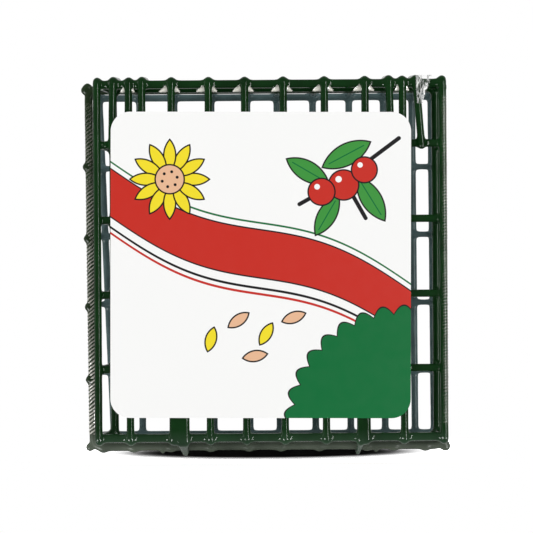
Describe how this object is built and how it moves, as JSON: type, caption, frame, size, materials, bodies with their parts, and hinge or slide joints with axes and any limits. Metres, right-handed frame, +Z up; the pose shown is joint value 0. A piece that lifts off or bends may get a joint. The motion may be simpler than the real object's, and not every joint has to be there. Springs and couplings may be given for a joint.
{
  "type": "suet feeder",
  "caption": "Square wire suet feeder: a deep back half and a shallow door of coated wire, hinged along the bottom, with a plain printed card on the door.",
  "frame": {"origin": "bottom centre of the bounding box, on the surface that the back half's bottom wires stand on", "axes": "+Z up, +X to the right seen from the front, the door faces -Y"},
  "size_m": [0.1442, 0.0496, 0.1436],
  "materials": {
    "green_coating": "gloss dark green dipped coating on steel wire",
    "printed_card": "white printed card, satin laminate"
  },
  "bodies": {
    "back_half": {"back_rim": "green_coating", "back_upright_1": "green_coating", "back_upright_2": "green_coating", "back_upright_3": "green_coating", "back_upright_4": "green_coating", "back_upright_5": "green_coating", "back_upright_6": "green_coating", "back_upright_7": "green_coating", "back_upright_8": "green_coating", "back_upright_9": "green_coating", "back_upright_10": "green_coating", "back_upright_11": "green_coating", "back_crosswire_1": "green_coating", "back_crosswire_2": "green_coating", "back_crosswire_3": "green_coating", "back_crosswire_4": "green_coating", "back_crosswire_5": "green_coating", "back_crosswire_6": "green_coating"},
    "door": {"door_rim": "green_coating", "door_upright_1": "green_coating", "door_upright_2": "green_coating", "door_upright_3": "green_coating", "door_upright_4": "green_coating", "door_upright_5": "green_coating", "door_upright_6": "green_coating", "door_upright_7": "green_coating", "door_upright_8": "green_coating", "door_upright_9": "green_coating", "door_upright_10": "green_coating", "door_crosswire_1": "green_coating", "door_crosswire_2": "green_coating", "door_crosswire_3": "green_coating", "door_crosswire_4": "green_coating", "door_crosswire_5": "green_coating", "door_crosswire_6": "green_coating", "hinge_hook_1": "green_coating", "hinge_hook_2": "green_coating", "hinge_hook_3": "green_coating", "closing_finger_1": "green_coating", "closing_finger_2": "green_coating", "closing_finger_3": "green_coating", "closing_finger_4": "green_coating", "label_card": "printed_card"}
  },
  "joints": [
    {"name": "door_hinge", "type": "hinge", "parent": "back_half", "child": "door", "pos_m": [0, -0.00737, 0.00458], "axis": [1, 0, 0], "range_deg": [0, 90]}
  ]
}
